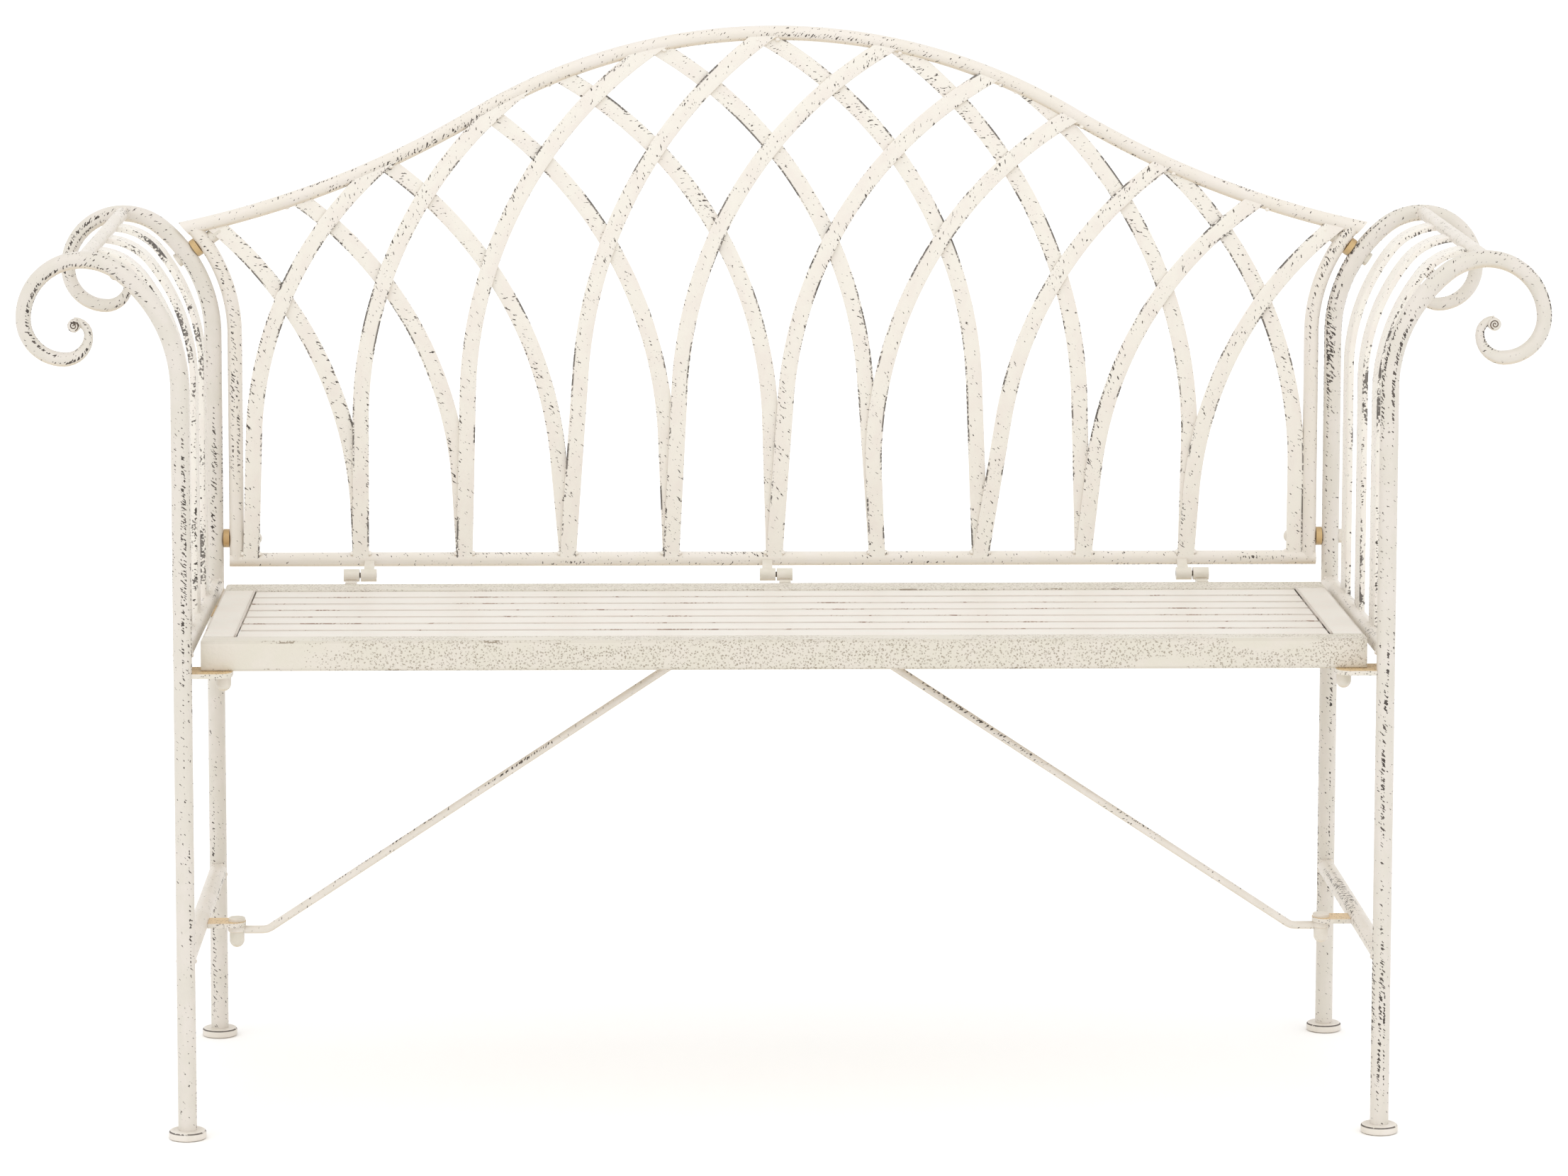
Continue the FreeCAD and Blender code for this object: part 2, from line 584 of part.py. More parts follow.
def build():
    arm = build_arm_frame()
    seat = build_seat()
    back = build_back()

    # Back bolts go through the rear legs and the posts.
    angle = math.radians(BACK_BOLT_ANGLE)
    upper_inward = at(-math.cos(angle), 0, math.sin(angle))
    bolt_y = BACK_Y + BACK_BOLT_SHIFT
    upper_centre = arm_centre() + upper_inward * ARM_BEND_R + at(0, bolt_y, 0)
    lower_centre = at(LEG_X, bolt_y, BACK_BOLT_Z)
    joints = [
        back_joint(lower_centre, at(-1, 0, 0), arm["rear_leg"], back["right_post"]),
        back_joint(upper_centre, upper_inward, arm["rear_leg"], back["right_post"]),
    ]
    shanks = [joint[3] for joint in joints]
    arm["rear_leg"] = arm["rear_leg"].cut(shanks)
    back["right_post"] = back["right_post"].cut(shanks)
    back["left_post"] = mirrored(back["right_post"])

    # The dome nuts are flattened where they meet the strips and the top rail.
    near_domes = [back["back_top_rail"]]
    near_domes += [shape for name, shape in back.items() if name.startswith("lattice")]
    domes = [dome.cut(near_domes) for dome in both_sides([joint[2] for joint in joints]).Solids]
    domes = [max(dome.Solids, key=lambda solid: solid.Volume) for dome in domes]

    # Seat bolts go up through the tabs into the front and rear rails.
    legs = [arm["front_leg"], arm["rear_leg"]]
    bolts = [seat_bolt(y) for y in SEAT_BOLT_YS]
    tabs = [tab(TAB_INNER_X, y0, y1, SEAT_BASE).cut(legs + bolts) for y0, y1 in (FRONT_TAB, REAR_TAB)]
    all_bolts = bolts + [mirrored(bolt) for bolt in bolts]
    seat["seat_front_rail"] = seat["seat_front_rail"].cut(all_bolts)
    seat["seat_rear_rail"] = seat["seat_rear_rail"].cut(all_bolts)

    # Braces run from tabs on the stretchers to the cross bars under the seat.
    pin = brace_bolt()
    tab_front = BRACE_Y - BRACE_TAB_WIDTH / 2
    tab_rear = BRACE_Y + BRACE_TAB_WIDTH / 2
    brace_tab = tab(BRACE_TAB_INNER_X, tab_front, tab_rear, BRACE_TAB_TOP).cut([arm["leg_stretcher"], pin])
    rod = brace().cut([pin, seat["seat_cross_bars"]])

    hinges = [hinge(gap_x, seat_side) for gap_x, seat_side in HINGES]
    back_knuckles = [parts[1].cut(back["back_bottom_rail"]) for parts in hinges]

    nodes = {f"right_{name}": shape for name, shape in arm.items()}
    nodes.update({f"left_{name}": mirrored(shape) for name, shape in arm.items()})
    nodes.update(seat)
    nodes.update(back)
    nodes["seat_tabs"] = both_sides(tabs)
    nodes["seat_bolts"] = Part.makeCompound(all_bolts)
    nodes["seat_dome_nuts"] = both_sides([seat_dome(y) for y in SEAT_BOLT_YS])
    nodes["brace_tabs"] = both_sides([brace_tab])
    nodes["brace_bolts"] = both_sides([pin])
    nodes["brace_dome_nuts"] = both_sides([brace_dome()])
    nodes["right_brace"] = rod
    nodes["left_brace"] = mirrored(rod)
    nodes["hinge_seat_knuckles"] = Part.makeCompound([parts[0] for parts in hinges])
    nodes["hinge_back_knuckles"] = Part.makeCompound(back_knuckles)
    nodes["hinge_pins"] = Part.makeCompound([parts[2] for parts in hinges])
    nodes["back_bolts"] = both_sides([joint[0] for joint in joints])
    nodes["back_spacers"] = both_sides([joint[1] for joint in joints])
    nodes["back_dome_nuts"] = Part.makeCompound(domes)
    return nodes


os.makedirs("parts", exist_ok=True)
for node, shape in build().items():
    if not shape.isValid():
        raise ValueError(f"{node} is not a valid shape")
    shape.exportStep(f"parts/{node}.step")
    print(node, len(shape.Solids), round(shape.Volume / 1000, 2))
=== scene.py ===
import math

import bmesh
import bpy
from mathutils import Matrix, Vector, noise


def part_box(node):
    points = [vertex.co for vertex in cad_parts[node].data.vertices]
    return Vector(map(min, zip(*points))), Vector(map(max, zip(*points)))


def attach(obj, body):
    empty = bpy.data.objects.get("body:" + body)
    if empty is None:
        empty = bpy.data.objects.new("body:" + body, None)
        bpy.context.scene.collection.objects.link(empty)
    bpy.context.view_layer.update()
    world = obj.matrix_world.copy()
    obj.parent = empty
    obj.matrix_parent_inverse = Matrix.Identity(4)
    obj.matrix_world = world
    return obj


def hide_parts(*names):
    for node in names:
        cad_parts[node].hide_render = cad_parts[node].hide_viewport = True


# The looks of a painted steel garden bench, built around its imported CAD.
# Sizes below are in millimetres, as in the CAD; MM takes them to metres. Left parts lie at -X.

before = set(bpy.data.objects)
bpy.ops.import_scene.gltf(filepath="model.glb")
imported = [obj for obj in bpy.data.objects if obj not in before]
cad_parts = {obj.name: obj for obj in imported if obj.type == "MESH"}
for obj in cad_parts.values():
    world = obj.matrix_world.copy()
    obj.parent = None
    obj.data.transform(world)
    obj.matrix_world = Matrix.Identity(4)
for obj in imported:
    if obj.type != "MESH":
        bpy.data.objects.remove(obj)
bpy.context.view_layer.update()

MM = 0.001
X_AXIS = Vector((1, 0, 0))
Y_AXIS = Vector((0, 1, 0))
Z_AXIS = Vector((0, 0, 1))


def cad_box_of(node):
    """Lowest and highest corner of a CAD node, in millimetres."""
    low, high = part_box(node)
    return low / MM, high / MM


# Places taken from the frame
FOOT_LOW, FOOT_HIGH = cad_box_of("right_feet")
FOOT_R = (FOOT_HIGH.x - FOOT_LOW.x) / 2
FOOT_HEIGHT = FOOT_HIGH.z
LEG_X = FOOT_HIGH.x - FOOT_R
LEG_Y = FOOT_HIGH.y - FOOT_R
RAIL_LOW, RAIL_HIGH = cad_box_of("right_side_rail")
SIDE_RAIL_Z = (RAIL_LOW.z + RAIL_HIGH.z) / 2
TUBE_R = (RAIL_HIGH.z - RAIL_LOW.z) / 2
STRETCHER_Z = cad_box_of("right_leg_stretcher")[1].z - TUBE_R
SLATS_FRONT_Y = cad_box_of("seat_front_rail")[1].y
SLATS_REAR_Y = cad_box_of("seat_rear_rail")[0].y
BASE_LOW, BASE_HIGH = cad_box_of("back_bottom_rail")
BOTTOM_RAIL_R = (BASE_HIGH.z - BASE_LOW.z) / 2
BOTTOM_RAIL_Z = BASE_HIGH.z - BOTTOM_RAIL_R
BACK_Y = BASE_HIGH.y - BOTTOM_RAIL_R

# Arm frames: bends as (radius of the centre line, degrees), and the tube's radius at each joint
SPRING_Z = 647.0
REAR_LIFT = 7.0
ARM_BEND_R = 128.0
ARM_BENDS = ((ARM_BEND_R, 50.0), (55.0, 40.0))
SCROLL_BENDS = ((50.0, 90.0), (34.5, 90.0), (20.5, 90.0), (12.0, 90.0))
LEG_RADII = (TUBE_R, TUBE_R, 8.0, 7.5, 6.5, 6.2, 3.8, 3.5)
TOP_BAR_R = 6.0
ARM_SLAT_YS = (-96.0, 0.0, 96.0)
ARM_SLAT_WIDTH = 35.0
ARM_SLAT_THICKNESS = 5.0
ARM_SLAT_X = 516.5
ARM_SLAT_SPRING_Z = 628.5
ARM_SLAT_BENDS = ((172.5, 38.0), (53.5, 52.0))
ARM_SLAT_ROUNDING = 1.0

# The rolled snub at the end of a scroll. Its rounded ends are (inset from the end, inset from the radius),
# and each end shows a spiral of wire whose radius grows with its turn.
SNUB_R = 5.5
SNUB_LENGTH = 11.5
SNUB_DROP = 3.5
SNUB_ENDS = ((0.0, 1.6), (0.4, 0.7), (1.3, 0.0))
SPIRAL_WIRE_R = 0.5
SPIRAL_START_R = 0.5
SPIRAL_GROWTH = 0.34
SPIRAL_TURNS = 1.7
SPIRAL_STEPS = 32
SPIRAL_INSET = 0.1

# Hands rub the legs from these lengths before the arm and the scroll. They rub the arm less than the scroll,
# and the scroll only where a point lies further out than this share of its radius.
RUBBED_ARM_LEAD = 120.0
RUBBED_SCROLL_LEAD = 40.0
RUBBED_ARM = 0.35
RUBBED_SIDE = 0.2

# Feet: the disc's lower edge as (height, inset), the turns of its rounded upper edge and its sunk middle.
# The upper edge is rubbed, and gets a thin painted shade line, between these shares of its rounding,
# measured down from the top.
FOOT_ROUNDING = 2.6
FOOT_LOWER_EDGE = ((0.0, 1.0), (0.3, 0.3), (1.0, 0.0))
FOOT_EDGE_TURNS = (0.4, 0.8, 1.2, 1.5)
FOOT_DISH = 0.5
FOOT_DISH_INSET = 4.0
FOOT_COLLAR = 1.5
FOOT_SIDES = 40
FOOT_RUB_FROM = 0.7
FOOT_RUB_TO = 0.2

# Weld beads, given by their half sizes, and how far they sink into what they join
BEAD_UNEVENNESS = 0.28
BEAD_LUMPINESS = 1.6
BAR_BEAD = Vector((2.6, 1.8, 2.6))
BAR_BEAD_COUNT = 5
BAR_BEAD_INSET = 7.5
STRIP_FOOT_BEAD = Vector((2.2, 2.6, 2.4))
STRIP_HEAD_BEAD = Vector((2.6, 2.4, 2.2))
BEAD_SINK = 0.8
FOOT_BEAD_SINK = 0.6
HEAD_BEAD_SPREAD = 0.62

# Back frame
POST_X = 494.0
POST_R = 6.75
POST_BEND_R = LEG_X + ARM_BEND_R - POST_X
POST_SWEEP = 42.0
TOP_RAIL_R = 6.8
TOP_RAIL_TRIM = 0.1
CROWN_Z = 929.6
CROWN_R = 533.0
CROWN_HALF_ANGLE = 30.6
SHOULDER_R = 891.0
SHOULDER_ANGLE = 19.6
HALF_RAIL = ((CROWN_R, CROWN_HALF_ANGLE), (SHOULDER_R, -SHOULDER_ANGLE))

# Lattice: the front layer curves right; the rear layer curves left and is given by its mirror images.
# Each strip is (foot x, height where the bend starts, bend radius, lean in mm per 100 mm of height).
FRONT_STRIPS = (
    (-480.5, 560.0, 345.0, 3.0),
    (-380.0, 575.0, 390.0, 0.5),
    (-285.0, 600.0, 400.0, 2.5),
    (-190.0, 620.0, 420.0, 7.0),
    (-95.0, 605.0, 385.0, 5.0),
    (0.0, 595.0, 370.0, 7.0),
    (95.0, 520.0, 370.0, -4.5),
    (190.0, 575.0, 360.0, 16.0),
    (285.0, 530.0, 345.0, 11.0),
    (380.0, 505.0, 350.0, 7.0),
)
REAR_STRIPS = (
    (-480.5, 530.0, 375.0, -0.5),
    (-380.0, 550.0, 410.0, -2.0),
    (-285.0, 595.0, 415.0, 3.0),
    (-190.0, 610.0, 380.0, 4.0),
    (-95.0, 610.0, 385.0, 7.0),
    (0.0, 575.0, 375.0, 3.0),
    (95.0, 560.0, 380.0, 4.0),
    (190.0, 540.0, 370.0, 9.0),
    (285.0, 515.0, 345.0, 5.5),
    (380.0, 490.0, 365.0, 4.0),
)
STRIP_WIDTH = 15.0
STRIP_THICKNESS = 3.0
STRIP_ROUNDING = 0.7
STRIP_OVERRUN = 25.0
HALVINGS = 40

# Seat. The ends of its bars are scaled down over their last stretch.
SLAT_COUNT = 7
SLAT_GAP = 4.0
SLAT_ROUNDING = 1.0
SLAT_PITCH = 20.0
RAIL_ROUNDING = 1.5
RAIL_PITCH = 6.0
RAIL_OUTLINE_PITCH = 3.0
SIDE_BAR_ROUNDING = 0.6
PLATE_ROUNDING = 0.5
BAR_END = 0.8
BAR_END_SCALE = 0.985
LIP_WIDTH = 2.0
LIP_HEIGHT = 1.0
LIP_ROUNDING = 0.6

# Braces
BRACE_Y = -37.0
BRACE_BAR_X = 60.0
BRACE_KNEE_X = 454.0
BRACE_KNEE_R = 12.0
BRACE_SLOPE = 33.4
BRACE_ROD_R = 3.5
BRACE_ROD_DROP = 0.3
BRACE_ROD_SIDES = 20
BRACE_HEAD_R = 7.5
BRACE_EYE_R = 8.0
BRACE_EYE_ROUNDING = 0.8
BRACE_EYE_LAP = 1.0

# How finely the pieces are divided, and how much the section of a tube or strip wavers along it
TUBE_SIDES = 28
WIRE_SIDES = 8
BEND_PITCH = 4.0
STRAIGHT_PITCH = 12.0
OUTLINE_PITCH = 4.0
SLAT_OUTLINE_PITCH = 6.0
CORNER_STEPS = 3
SPHERE_SIDES = 12
WAVER = 0.012
WAVER_RATE = 0.03
SHARP_EDGE = 40.0

# Seeds shift the pattern by these lengths along the unbent bar, so that neighbours don't look alike
SEED_STEP = 731.0
ARM_SLAT_SEED_STEP = 211.0
SEAT_SLAT_SEED_STEP = 311.0
FOOT_SEED_STEP = 57.0
BEAD_SEED_STEP = 37.0

# Camera: its place, its turns in radians, its lens and sensor in millimetres, its shift in frame widths
CAMERA_SPOT = Vector((-136.7, -4873.0, 1193.2))
CAMERA_YAW = 0.02873
CAMERA_PITCH = 0.11797
CAMERA_ROLL = 0.00183
CAMERA_LENS = 127.5
CAMERA_SENSOR = 36.0
CAMERA_SHIFT = -0.12
CAMERA_CLIP_END = 100.0

# Floor, in metres, just under the feet, and light. A sun is (name, direction, strength).
FLOOR_HALF = 12.0
FLOOR_DROP = 0.0005
FLOOR_WHITE = (0.98, 0.98, 0.98, 1)
FLOOR_ROUGHNESS = 0.9
SKY_STRENGTH = 1.06
SUN_WIDTH = 70.0
SUNS = (
    ("key", Vector((0.45, 0.75, -0.9)), 0.50),
    ("fill", Vector((-0.6, 0.5, -0.8)), 0.25),
)


# Paths in the XZ plane, as in the CAD

def run(start, length):
    """A straight step from start, which is x, z and the heading from +Z towards +X, and its length."""
    x, z, heading = start

    def place(t):
        return x + t * length * math.sin(heading), z + t * length * math.cos(heading), heading

    return place, length


def bend(start, radius, sweep):
    """An arc step and its length. A positive sweep turns towards +X from upright."""
    x, z, heading = start
    side = math.copysign(radius, sweep)
    centre_x = x + side * math.cos(heading)
    centre_z = z - side * math.sin(heading)

    def place(t):
        now = heading + t * sweep
        return centre_x - side * math.cos(now), centre_z + side * math.sin(now), now

    return place, radius * abs(sweep)


def chain(x, z, heading, steps):
    """A path of steps end to end. A step is (length,) or (radius, sweep in degrees)."""
    start = (x, z, math.radians(heading))
    path = []
    for step in steps:
        if len(step) == 1:
            path.append(run(start, step[0]))
        else:
            path.append(bend(start, step[0], math.radians(step[1])))
        start = path[-1][0](1.0)
    return path


def rail_height(x):
    """Height of the top rail's centre line."""
    crown_centre = CROWN_Z - CROWN_R
    joint = math.radians(CROWN_HALF_ANGLE)
    if abs(x) <= CROWN_R * math.sin(joint):
        return crown_centre + math.sqrt(CROWN_R ** 2 - x ** 2)
    hollow_x = (CROWN_R + SHOULDER_R) * math.sin(joint)
    hollow_z = crown_centre + (CROWN_R + SHOULDER_R) * math.cos(joint)
    return hollow_z - math.sqrt(SHOULDER_R ** 2 - (hollow_x - abs(x)) ** 2)


# Sweeps. A frame is (centre, side, across, distance along, scale of the section).

def path_frames(path, y, radii=None):
    """Frames along a path in the XZ plane at depth y, scaled by the radii at its joints if given."""
    frames = []
    along = 0.0
    for number, (place, length) in enumerate(path):
        turns = place(0.0)[2] != place(1.0)[2]
        count = max(2, math.ceil(length / (BEND_PITCH if turns else STRAIGHT_PITCH)))
        for k in range(0 if number == 0 else 1, count + 1):
            t = k / count
            x, z, heading = place(t)
            side = Vector((math.cos(heading), 0, -math.sin(heading)))
            scale = radii[number] + (radii[number + 1] - radii[number]) * t if radii else 1.0
            frames.append((Vector((x, y, z)), side, Y_AXIS, along + t * length, scale))
        along += length
    return frames


def line_frames(start, end, side, across, pitch=STRAIGHT_PITCH):
    """Frames along a straight line."""
    length = (end - start).length
    count = max(2, math.ceil(length / pitch))
    shares = [k / count for k in range(count + 1)]
    return [(start.lerp(end, share), side, across, length * share, 1.0) for share in shares]


def round_outline(radius, sides=TUBE_SIDES):
    turns = [2 * math.pi * k / sides for k in range(sides)]
    return [(radius * math.cos(turn), radius * math.sin(turn), 0.0) for turn in turns]


def flat_outline(width, height, rounding, pitch=OUTLINE_PITCH):
    """A rectangle with rounded corners, its sides divided about every pitch. Corner points have rim 1."""
    points = []
    inner_a = width / 2 - rounding
    inner_b = height / 2 - rounding
    corners = (
        (inner_a, inner_b, 0),
        (-inner_a, inner_b, 90),
        (-inner_a, -inner_b, 180),
        (inner_a, -inner_b, 270),
    )
    for number, (a, b, first) in enumerate(corners):
        for k in range(CORNER_STEPS + 1):
            turn = math.radians(first + 90 * k / CORNER_STEPS)
            points.append((a + rounding * math.cos(turn), b + rounding * math.sin(turn), 1.0))
        next_a, next_b, next_first = corners[(number + 1) % 4]
        turn = math.radians(next_first)
        goal = (next_a + rounding * math.cos(turn), next_b + rounding * math.sin(turn))
        here_a, here_b = points[-1][:2]
        count = int(math.dist((here_a, here_b), goal) // pitch)
        for k in range(1, count):
            share = k / count
            points.append((here_a + (goal[0] - here_a) * share, here_b + (goal[1] - here_b) * share, 0.0))
    return points


class Shape:
    """Points and faces of one piece, with each point's place on the unbent bar and how far it is a rim."""

    def __init__(self, seed):
        self.points = []
        self.unbent = []
        self.rims = []
        self.faces = []
        self.seed = seed * SEED_STEP

    def sweep(self, frames, outline, waver=WAVER, rub=None):
        """Draws an outline along frames. The section shrinks here and there by up to waver.

        rub, where given, says how rubbed a point is from its distance along and its place to the side.
        """
        first = len(self.points)
        sides = len(outline)
        for centre, side, across, along, scale in frames:
            ripple = 0.5 + 0.5 * noise.noise((along * WAVER_RATE, self.seed, 0.3))
            size = scale * (1 - waver * ripple)
            for a, b, rim in outline:
                self.points.append(centre + side * (a * size) + across * (b * size))
                self.unbent.append((self.seed + along, a * scale, b * scale))
                self.rims.append(rub(along, a) if rub else rim)
        for k in range(len(frames) - 1):
            row = first + k * sides
            for j in range(sides):
                after = (j + 1) % sides
                self.faces.append((row + j, row + after, row + sides + after, row + sides + j))
        self.faces.append(tuple(first + j for j in reversed(range(sides))))
        last = first + (len(frames) - 1) * sides
        self.faces.append(tuple(last + j for j in range(sides)))

    def lathe(self, start, axis, profile, sides=TUBE_SIDES, rub=None):
        """Turns a profile of (distance along the axis, radius) round the axis, closed at both ends."""
        side = axis.orthogonal().normalized()
        across = axis.cross(side)
        frames = [(start + axis * along, side, across, along, radius) for along, radius in profile]
        self.sweep(frames, round_outline(1.0, sides), waver=0.0, rub=rub)

    def lump(self, centre, size, seed):
        """A small uneven bead, such as a weld, of the given half sizes."""
        first = len(self.points)
        rings = SPHERE_SIDES // 2
        poles = []
        for k in range(rings + 1):
            tilt = math.pi * k / rings
            for j in range(1 if k in (0, rings) else SPHERE_SIDES):
                turn = 2 * math.pi * j / SPHERE_SIDES
                level = math.sin(tilt)
                ray = Vector((level * math.cos(turn), level * math.sin(turn), math.cos(tilt)))
                bump = 0.5 + 0.5 * noise.noise(ray * BEAD_LUMPINESS + Vector((seed, 0, 0)))
                ray *= 1 - BEAD_UNEVENNESS * bump
                point = centre + ray * size
                if k in (0, rings):
                    poles.append(len(self.points))
                self.points.append(point)
                self.unbent.append(tuple(point - centre + X_AXIS * (seed * BEAD_SEED_STEP)))
                self.rims.append(0.0)
        for j in range(SPHERE_SIDES):
            after = (j + 1) % SPHERE_SIDES
            self.faces.append((poles[0], first + 1 + j, first + 1 + after))
            last_row = poles[1] - SPHERE_SIDES
            self.faces.append((poles[1], last_row + after, last_row + j))
            for k in range(rings - 2):
                row = first + 1 + k * SPHERE_SIDES
                below = row + SPHERE_SIDES
                self.faces.append((row + j, below + j, below + after, row + after))


def piece(name, shape, slot, nodes, cut=(), material=None):
    """Makes a Shape into a piece that replaces CAD nodes, trimmed to planes given as (point, direction)."""
    mesh = bpy.data.meshes.new(name)
    mesh.from_pydata([point * MM for point in shape.points], [], shape.faces)
    place = mesh.attributes.new("unbent", "FLOAT_VECTOR", "POINT")
    place.data.foreach_set("vector", [number for spot in shape.unbent for number in spot])
    rims = mesh.attributes.new("rim", "FLOAT", "POINT")
    rims.data.foreach_set("value", shape.rims)
    bm = bmesh.new()
    bm.from_mesh(mesh)
    for point, direction in cut:
        parts = bm.verts[:] + bm.edges[:] + bm.faces[:]
        made = bmesh.ops.bisect_plane(
            bm, geom=parts, plane_co=point * MM, plane_no=direction, clear_outer=True,
        )
        rim = [part for part in made["geom_cut"] if isinstance(part, bmesh.types.BMEdge)]
        bmesh.ops.edgeloop_fill(bm, edges=rim)
    bmesh.ops.recalc_face_normals(bm, faces=bm.faces[:])
    bm.to_mesh(mesh)
    bm.free()
    mesh.shade_smooth()
    mesh.set_sharp_from_angle(angle=math.radians(SHARP_EDGE))
    mesh.materials.append(MATERIALS[material or slot])
    obj = bpy.data.objects.new(name, mesh)
    bpy.context.scene.collection.objects.link(obj)
    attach(obj, "root")
    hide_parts(*nodes)


# Materials

def linear(red, green, blue):
    """A colour given as 8-bit sRGB values."""
    return tuple(((value / 255 + 0.055) / 1.055) ** 2.4 for value in (red, green, blue)) + (1.0,)


class Nodes:
    """A small helper that adds shader nodes to a material and links them."""

    def __init__(self, name):
        self.material = bpy.data.materials.new(name)
        self.material.use_nodes = True
        self.tree = self.material.node_tree
        self.shader = self.tree.nodes["Principled BSDF"]

    def add(self, kind, inputs=None, **settings):
        made = self.tree.nodes.new("ShaderNode" + kind)
        for key, value in settings.items():
            setattr(made, key, value)
        for key, value in (inputs or {}).items():
            self.put(made.inputs[key], value)
        return made

    def put(self, socket, value):
        if isinstance(value, bpy.types.NodeSocket):
            self.tree.links.new(value, socket)
        else:
            socket.default_value = value

    def math(self, operation, first, second=0.0):
        return self.add("Math", {0: first, 1: second}, operation=operation).outputs[0]

    def step(self, value, low, high, to_low=0.0, to_high=1.0):
        """Smooth step from to_low to to_high as value goes from low to high."""
        inputs = {"Value": value, "From Min": low, "From Max": high, "To Min": to_low, "To Max": to_high}
        return self.add("MapRange", inputs, interpolation_type="SMOOTHSTEP").outputs["Result"]

    def stretch(self, vector, scale, shift=(0.0, 0.0, 0.0)):
        inputs = {"Vector": vector, "Scale": scale, "Location": shift}
        return self.add("Mapping", inputs).outputs["Vector"]

    def noise(self, vector, scale, shift=(0.0, 0.0, 0.0), detail=1.0):
        """Noise whose features repeat about scale times a millimetre in each direction."""
        place = self.stretch(vector, scale, shift)
        return self.add("TexNoise", {"Vector": place, "Scale": 1.0, "Detail": detail}).outputs["Fac"]

    def mix(self, share, first, second):
        made = self.add("Mix", {"Factor": share}, data_type="RGBA")
        self.put(made.inputs["A"], first)
        self.put(made.inputs["B"], second)
        return made.outputs["Result"]


CREAM = (217, 210, 199)
ROSE_CREAM = (222, 215, 206)
LEG_CREAM = (209, 203, 192)
LEG_ROSE = (213, 206, 197)
RAIL_CREAM = (221, 214, 203)
STRIP_ROSE = (227, 220, 211)
SLAT_CREAM = (222, 217, 208)
PALE_CREAM = (229, 224, 214)
OLIVE_CREAM = (210, 204, 190)
DULL_CREAM = (212, 205, 193)
UNDERSIDE_SHADE_TAN = (206, 186, 150)
TOP_SHADOW_GOLD = (216, 184, 132)
SPACER_TAN = (196, 166, 116)
SPACER_BROWN = (180, 144, 94)
DARK_METAL = (38, 27, 20)
PIT_BROWN = (128, 114, 94)
SOFT_BROWN = (132, 104, 84)
METAL_BROWN = (62, 48, 38)
METAL_TAN = (112, 92, 74)

# Noise grains: (features to a millimetre along, to the side and through the bar, shift)
PATCH_GRAIN = ((0.005, 0.02, 0.02), (3.0, 0.0, 0.0))
LANE_GRAIN = ((0.005, 0.24, 0.24), (0.0, 5.0, 0.0))
DASH_GRAIN = ((0.60, 0.30, 0.30), (0.0, 0.0, 9.0))
SPOT_GRAIN = ((0.012, 0.05, 0.05), (0.0, 0.0, 4.0))
CHANCE_GRAIN = ((0.9, 0.9, 0.9), (7.0, 0.0, 0.0))
BROKEN_GRAIN = ((0.022, 0.08, 0.08), (0.0, 8.0, 0.0))
FINE_GRAIN = ((0.45, 0.5, 0.5), (1.0, 0.0, 0.0))
MOTTLE_GRAIN = ((0.04, 0.06, 0.06), (2.0, 0.0, 0.0))
SHADE_GRAIN = ((0.08, 0.2, 0.2), (0.0, 2.0, 0.0))
BUMP_GRAIN = ((0.30, 0.30, 0.30), (0.0, 6.0, 0.0))

# Lanes of dashes: their slant, how much more of them the rubbed rims get, and the noise level at which
# a dash starts and is full
DASH_SLANT = 0.7
HAND_RUB = 0.08
DASH_START = 0.70
DASH_FULL = 0.74

# Pinholes: cells to a millimetre, their size in cells, their soft edge in cells, and how dark they are
PIT_SCALE = 0.45
PIT_REACH = 0.34
PIT_EDGE = 0.10
PIT_DEPTH = 0.75

# Rims: how much the fine grain breaks them up, the noise level at which they are rubbed, and how dark
# they get there
RIM_FINENESS = 0.45
RIM_START = 0.91
RIM_FULL = 0.98
RIM_DEPTH = 0.9

# Finish: how strongly the undersides get a painted tan shade, how well worn marks cover the paint, and the
# roughness of both
UNDERSIDE_SHADE_AMOUNT = 0.55
WORN_COVER = 0.95
PAINT_ROUGHNESS = 0.42
BARE_ROUGHNESS = 0.75
BUMP_STRENGTH = 0.4
BUMP_DISTANCE = 0.0005


def lane_marks(made, place, lanes):
    """Long lanes of short slanting dashes where the paint is rubbed through."""
    axes = made.add("SeparateXYZ", {"Vector": place}).outputs
    patch = made.step(made.noise(place, *PATCH_GRAIN), 0.42, 0.56)
    lane = made.step(made.noise(place, *LANE_GRAIN, 0.5), 0.52, 0.64)
    sheared = made.math("ADD", axes["X"], made.math("MULTIPLY", axes["Y"], DASH_SLANT))
    slanted = made.add("CombineXYZ", {"X": sheared, "Y": axes["Y"], "Z": axes["Z"]}).outputs["Vector"]
    dash = made.noise(slanted, *DASH_GRAIN)
    rim = made.add("Attribute", attribute_name="rim").outputs["Fac"]
    rubbed_by_hands = made.math("MULTIPLY", rim, HAND_RUB)
    strength = made.math("ADD", made.math("MULTIPLY", patch, lanes), rubbed_by_hands)
    level = made.math("ADD", dash, made.math("MULTIPLY", lane, strength))
    return made.step(level, DASH_START, DASH_FULL)


